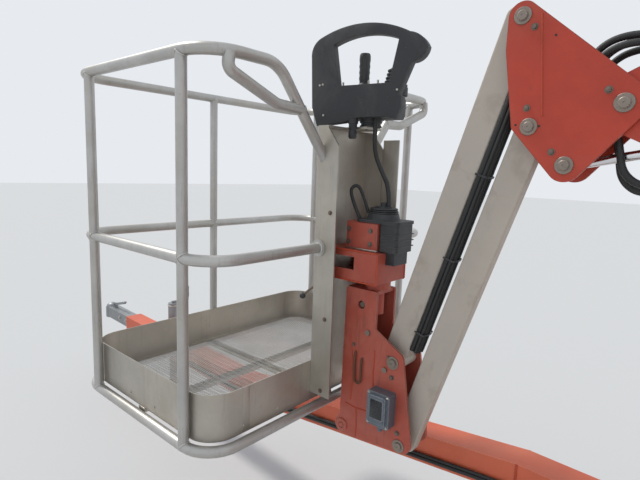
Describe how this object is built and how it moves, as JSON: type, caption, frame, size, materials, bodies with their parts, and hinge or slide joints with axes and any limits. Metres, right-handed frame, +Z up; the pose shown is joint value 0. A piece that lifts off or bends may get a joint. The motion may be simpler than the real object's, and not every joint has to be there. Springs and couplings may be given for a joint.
{
  "type": "towable boom lift",
  "caption": "Trailer-mounted articulated boom lift, stowed for towing: basket, jib, telescopic boom, riser, outriggers, drawbar and road wheels.",
  "frame": {"origin": "centre of the bounding box at floor level, under wheels and jack foot", "axes": "+Y to the tow coupler, +X to the machine's right seen from above with +Y ahead, +Z up"},
  "size_m": [1.8, 8.004, 2.0842],
  "materials": {
    "orange_paint": "satin",
    "frame_paint": "satin",
    "boom_paint": "satin",
    "jib_metal": "satin",
    "basket_aluminium": "brushed",
    "hood_cover": "gloss",
    "black_plastic": "matte",
    "barrel_paint": "satin",
    "chrome_rod": "polished",
    "pin_steel": "worn",
    "coupler_steel": "worn",
    "outlet_grey": "matte",
    "tyre_rubber": "matte",
    "wheel_steel": "satin",
    "lamp_red": "gloss",
    "hose_rubber": "matte"
  },
  "bodies": {
    "chassis": {"chassis_frame": "frame_paint", "drawbar": "orange_paint", "axle": "frame_paint", "fenders": "orange_paint", "tail_lamps": "lamp_red", "coupler": "coupler_steel", "jack_housing": "coupler_steel"},
    "jack": {"jack_leg": "pin_steel"},
    "wheel_left": {"tyre_left": "tyre_rubber", "rim_left": "wheel_steel"},
    "wheel_right": {"tyre_right": "tyre_rubber", "rim_right": "wheel_steel"},
    "turntable": {"turntable": "frame_paint", "batteries": "black_plastic", "ground_controls": "black_plastic"},
    "hood_left": {"hood_left": "hood_cover"},
    "hood_right": {"hood_right": "hood_cover"},
    "lower_arm": {"lower_arm": "boom_paint"},
    "parallel_links": {"parallel_links": "boom_paint"},
    "riser_barrel": {"riser_barrel": "barrel_paint"},
    "riser_rod": {"riser_rod": "chrome_rod"},
    "upright": {"upright": "orange_paint"},
    "lift_barrel": {"lift_barrel": "barrel_paint"},
    "lift_rod": {"lift_rod": "chrome_rod"},
    "boom": {"boom_base": "boom_paint"},
    "fly": {"fly_boom": "boom_paint", "fly_tip": "orange_paint"},
    "level_barrel": {"level_barrel": "barrel_paint"},
    "level_rod": {"level_rod": "chrome_rod"},
    "knuckle": {"knuckle": "orange_paint", "knuckle_pins": "pin_steel"},
    "jib_lower_arm": {"jib_lower_arm": "jib_metal"},
    "jib_upper_arm": {"jib_upper_arm": "jib_metal", "jib_hoses": "hose_rubber"},
    "bracket": {"platform_bracket": "orange_paint", "bracket_pins": "pin_steel", "outlet_box": "outlet_grey"},
    "platform": {"rotator_support": "orange_paint", "rotator_boot": "black_plastic", "mast": "basket_aluminium", "basket_rails": "basket_aluminium", "basket_posts": "basket_aluminium", "toe_board": "basket_aluminium", "basket_floor": "basket_aluminium", "control_console": "black_plastic", "joystick": "black_plastic", "platform_cable": "hose_rubber"},
    "outrigger_front_left": {"outrigger_leg_front_left": "orange_paint"},
    "outrigger_barrel_front_left": {"outrigger_barrel_front_left": "barrel_paint"},
    "outrigger_rod_front_left": {"outrigger_rod_front_left": "chrome_rod"},
    "outrigger_front_right": {"outrigger_leg_front_right": "orange_paint"},
    "outrigger_barrel_front_right": {"outrigger_barrel_front_right": "barrel_paint"},
    "outrigger_rod_front_right": {"outrigger_rod_front_right": "chrome_rod"},
    "outrigger_rear_left": {"outrigger_leg_rear_left": "orange_paint"},
    "outrigger_barrel_rear_left": {"outrigger_barrel_rear_left": "barrel_paint"},
    "outrigger_rod_rear_left": {"outrigger_rod_rear_left": "chrome_rod"},
    "outrigger_rear_right": {"outrigger_leg_rear_right": "orange_paint"},
    "outrigger_barrel_rear_right": {"outrigger_barrel_rear_right": "barrel_paint"},
    "outrigger_rod_rear_right": {"outrigger_rod_rear_right": "chrome_rod"}
  },
  "joints": [
    {"name": "wheel_left_spin", "type": "hinge", "parent": "chassis", "child": "wheel_left", "pos_m": [-0.75, -2.374, 0.36], "axis": [1, 0, 0], "continuous": true},
    {"name": "wheel_right_spin", "type": "hinge", "parent": "chassis", "child": "wheel_right", "pos_m": [0.75, -2.374, 0.36], "axis": [1, 0, 0], "continuous": true},
    {"name": "jack_slide", "type": "slide", "parent": "chassis", "child": "jack", "axis": [0, 0, 1], "range_m": [0, 0.25]},
    {"name": "turntable_swing", "type": "hinge", "parent": "chassis", "child": "turntable", "pos_m": [0, -2.524, 0.76], "axis": [0, 0, 1], "range_deg": [-177, 177]},
    {"name": "riser_lift", "type": "hinge", "parent": "turntable", "child": "lower_arm", "pos_m": [-0.03925, -1.77503, 0.93], "axis": [-0.9986, -0.0523, 0], "range_deg": [0, 70]},
    {"name": "parallel_link_turn", "type": "hinge", "parent": "turntable", "child": "parallel_links", "pos_m": [-0.03925, -1.77503, 1.15], "axis": [-0.9986, -0.0523, 0], "range_deg": [0, 70]},
    {"name": "upright_level", "type": "hinge", "parent": "lower_arm", "child": "upright", "pos_m": [0.04972, -3.4727, 0.93], "axis": [-0.9986, -0.0523, 0], "range_deg": [-70, 0]},
    {"name": "riser_barrel_turn", "type": "hinge", "parent": "turntable", "child": "riser_barrel", "pos_m": [0.04292, -3.34288, 0.83], "axis": [0.9986, 0.0523, 0], "range_deg": [0, 18.23]},
    {"name": "riser_rod_slide", "type": "slide", "parent": "riser_barrel", "child": "riser_rod", "axis": [-0.0519, 0.9898, 0.1328], "range_m": [0, 0.56997]},
    {"name": "boom_lift", "type": "hinge", "parent": "upright", "child": "boom", "pos_m": [0.05129, -3.50266, 1.786], "axis": [0.9986, 0.0523, 0], "range_deg": [0, 75]},
    {"name": "lift_barrel_turn", "type": "hinge", "parent": "upright", "child": "lift_barrel", "pos_m": [0.04606, -3.40279, 1.26], "axis": [0.9986, 0.0523, 0], "range_deg": [0, 59.48]},
    {"name": "lift_rod_slide", "type": "slide", "parent": "lift_barrel", "child": "lift_rod", "axis": [-0.0497, 0.9476, 0.3157], "range_m": [0, 0.52433]},
    {"name": "fly_slide", "type": "slide", "parent": "boom", "child": "fly", "axis": [-0.0523, 0.9986, 0], "range_m": [0, 2.7]},
    {"name": "knuckle_level", "type": "hinge", "parent": "fly", "child": "knuckle", "pos_m": [-0.15936, 0.51683, 1.786], "axis": [0.9986, 0.0523, 0], "range_deg": [-75, 0]},
    {"name": "level_barrel_turn", "type": "hinge", "parent": "fly", "child": "level_barrel", "pos_m": [-0.12011, -0.23214, 1.811], "axis": [0.9986, 0.0523, 0], "range_deg": [-4.05, 0]},
    {"name": "level_rod_slide", "type": "slide", "parent": "level_barrel", "child": "level_rod", "axis": [-0.0513, 0.9797, -0.1939], "range_m": [-0.2202, 0]},
    {"name": "jib_lift", "type": "hinge", "parent": "knuckle", "child": "jib_lower_arm", "pos_m": [-0.17035, 0.72654, 1.738], "axis": [0.9986, 0.0523, 0], "range_deg": [0, 130]},
    {"name": "jib_upper_turn", "type": "hinge", "parent": "knuckle", "child": "jib_upper_arm", "pos_m": [-0.17245, 0.76648, 2.02], "axis": [0.9986, 0.0523, 0], "range_deg": [0, 130]},
    {"name": "bracket_level", "type": "hinge", "parent": "jib_lower_arm", "child": "bracket", "pos_m": [-0.18741, 1.05209, 0.696], "axis": [0.9986, 0.0523, 0], "range_deg": [-130, 0]},
    {"name": "platform_rotate", "type": "hinge", "parent": "bracket", "child": "platform", "pos_m": [-0.19548, 1.20588, 1.25], "axis": [0, 0, 1], "range_deg": [-80, 80]},
    {"name": "outrigger_front_left_swing", "type": "hinge", "parent": "chassis", "child": "outrigger_front_left", "pos_m": [-0.66, -1.374, 0.5], "axis": [-0.7071, -0.7071, 0], "range_deg": [0, 115]},
    {"name": "outrigger_barrel_front_left_turn", "type": "hinge", "parent": "chassis", "child": "outrigger_barrel_front_left", "pos_m": [-0.58222, -1.45178, 0.643], "axis": [-0.7071, -0.7071, 0], "range_deg": [0, 108.82]},
    {"name": "outrigger_rod_front_left_slide", "type": "slide", "parent": "outrigger_barrel_front_left", "child": "outrigger_rod_front_left", "axis": [-0.1271, 0.1271, 0.9837], "range_m": [0, 0.29847]},
    {"name": "outrigger_front_right_swing", "type": "hinge", "parent": "chassis", "child": "outrigger_front_right", "pos_m": [0.66, -1.374, 0.5], "axis": [-0.7071, 0.7071, 0], "range_deg": [0, 115]},
    {"name": "outrigger_barrel_front_right_turn", "type": "hinge", "parent": "chassis", "child": "outrigger_barrel_front_right", "pos_m": [0.58222, -1.45178, 0.643], "axis": [-0.7071, 0.7071, 0], "range_deg": [0, 108.82]},
    {"name": "outrigger_rod_front_right_slide", "type": "slide", "parent": "outrigger_barrel_front_right", "child": "outrigger_rod_front_right", "axis": [0.1271, 0.1271, 0.9837], "range_m": [0, 0.29847]},
    {"name": "outrigger_rear_left_swing", "type": "hinge", "parent": "chassis", "child": "outrigger_rear_left", "pos_m": [-0.66, -3.674, 0.5], "axis": [0.7071, -0.7071, 0], "range_deg": [0, 115]},
    {"name": "outrigger_barrel_rear_left_turn", "type": "hinge", "parent": "chassis", "child": "outrigger_barrel_rear_left", "pos_m": [-0.58222, -3.59622, 0.643], "axis": [0.7071, -0.7071, 0], "range_deg": [0, 108.82]},
    {"name": "outrigger_rod_rear_left_slide", "type": "slide", "parent": "outrigger_barrel_rear_left", "child": "outrigger_rod_rear_left", "axis": [-0.1271, -0.1271, 0.9837], "range_m": [0, 0.29847]},
    {"name": "outrigger_rear_right_swing", "type": "hinge", "parent": "chassis", "child": "outrigger_rear_right", "pos_m": [0.66, -3.674, 0.5], "axis": [0.7071, 0.7071, 0], "range_deg": [0, 115]},
    {"name": "outrigger_barrel_rear_right_turn", "type": "hinge", "parent": "chassis", "child": "outrigger_barrel_rear_right", "pos_m": [0.58222, -3.59622, 0.643], "axis": [0.7071, 0.7071, 0], "range_deg": [0, 108.82]},
    {"name": "outrigger_rod_rear_right_slide", "type": "slide", "parent": "outrigger_barrel_rear_right", "child": "outrigger_rod_rear_right", "axis": [0.1271, -0.1271, 0.9837], "range_m": [0, 0.29847]},
    {"name": "hood_left_lift", "type": "hinge", "parent": "turntable", "child": "hood_left", "pos_m": [-0.20971, -2.53499, 1.25], "axis": [-0.0523, 0.9986, 0], "range_deg": [0, 70]},
    {"name": "hood_right_lift", "type": "hinge", "parent": "turntable", "child": "hood_right", "pos_m": [0.20971, -2.51301, 1.25], "axis": [0.0523, -0.9986, 0], "range_deg": [0, 70]}
  ],
  "couplings": [
    {"joint": "parallel_link_turn", "follows": "riser_lift", "ratio": 1},
    {"joint": "upright_level", "follows": "riser_lift", "ratio": -1},
    {"joint": "riser_barrel_turn", "follows": "riser_lift", "ratio": 0.25985},
    {"joint": "riser_rod_slide", "follows": "riser_lift", "m_per_rad": 0.46559},
    {"joint": "lift_barrel_turn", "follows": "boom_lift", "ratio": 0.79149},
    {"joint": "lift_rod_slide", "follows": "boom_lift", "m_per_rad": 0.39976},
    {"joint": "knuckle_level", "follows": "boom_lift", "ratio": -1},
    {"joint": "level_barrel_turn", "follows": "boom_lift", "ratio": -0.05393},
    {"joint": "level_rod_slide", "follows": "boom_lift", "m_per_rad": -0.16788},
    {"joint": "jib_upper_turn", "follows": "jib_lift", "ratio": 1},
    {"joint": "bracket_level", "follows": "jib_lift", "ratio": -1},
    {"joint": "outrigger_barrel_front_left_turn", "follows": "outrigger_front_left_swing", "ratio": 0.94441},
    {"joint": "outrigger_rod_front_left_slide", "follows": "outrigger_front_left_swing", "m_per_rad": 0.14841},
    {"joint": "outrigger_barrel_front_right_turn", "follows": "outrigger_front_right_swing", "ratio": 0.94441},
    {"joint": "outrigger_rod_front_right_slide", "follows": "outrigger_front_right_swing", "m_per_rad": 0.14841},
    {"joint": "outrigger_barrel_rear_left_turn", "follows": "outrigger_rear_left_swing", "ratio": 0.94441},
    {"joint": "outrigger_rod_rear_left_slide", "follows": "outrigger_rear_left_swing", "m_per_rad": 0.14841},
    {"joint": "outrigger_barrel_rear_right_turn", "follows": "outrigger_rear_right_swing", "ratio": 0.94441},
    {"joint": "outrigger_rod_rear_right_slide", "follows": "outrigger_rear_right_swing", "m_per_rad": 0.14841}
  ]
}
